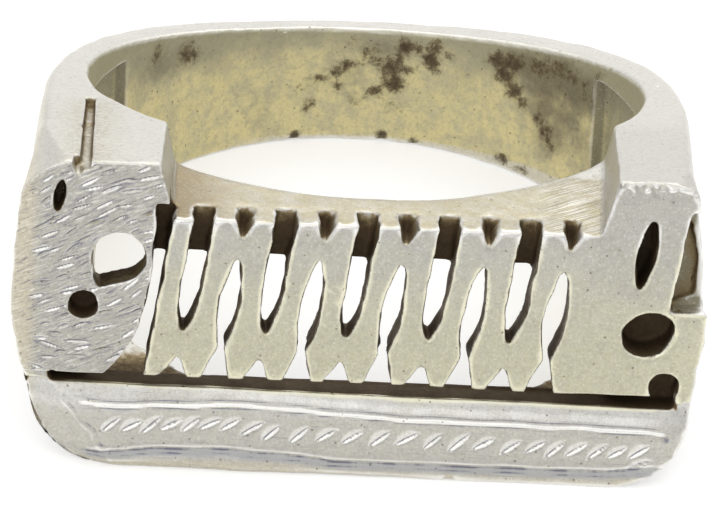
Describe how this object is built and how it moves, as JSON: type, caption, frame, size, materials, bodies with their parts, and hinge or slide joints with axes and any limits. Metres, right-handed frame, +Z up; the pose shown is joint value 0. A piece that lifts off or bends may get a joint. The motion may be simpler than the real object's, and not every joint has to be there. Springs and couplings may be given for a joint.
{
  "type": "name ring",
  "caption": "Silver finger ring lying on its side, with a flat front, a pierced leaf border where a name would stand, and a rope-cut bar below it.",
  "frame": {"origin": "middle of the bounding box's underside, on the surface that the ring lies on", "axes": "+X to the right along the face as seen from the front, +Y from the face to the back of the finger, +Z up, about 8.9 degrees from the finger hole's axis"},
  "size_m": [0.0226, 0.0242, 0.0108],
  "materials": {
    "silver": "worn satin silver with yellowish tarnish and dark stains inside"
  },
  "bodies": {
    "root": {"name_ring": "silver"}
  },
  "joints": []
}
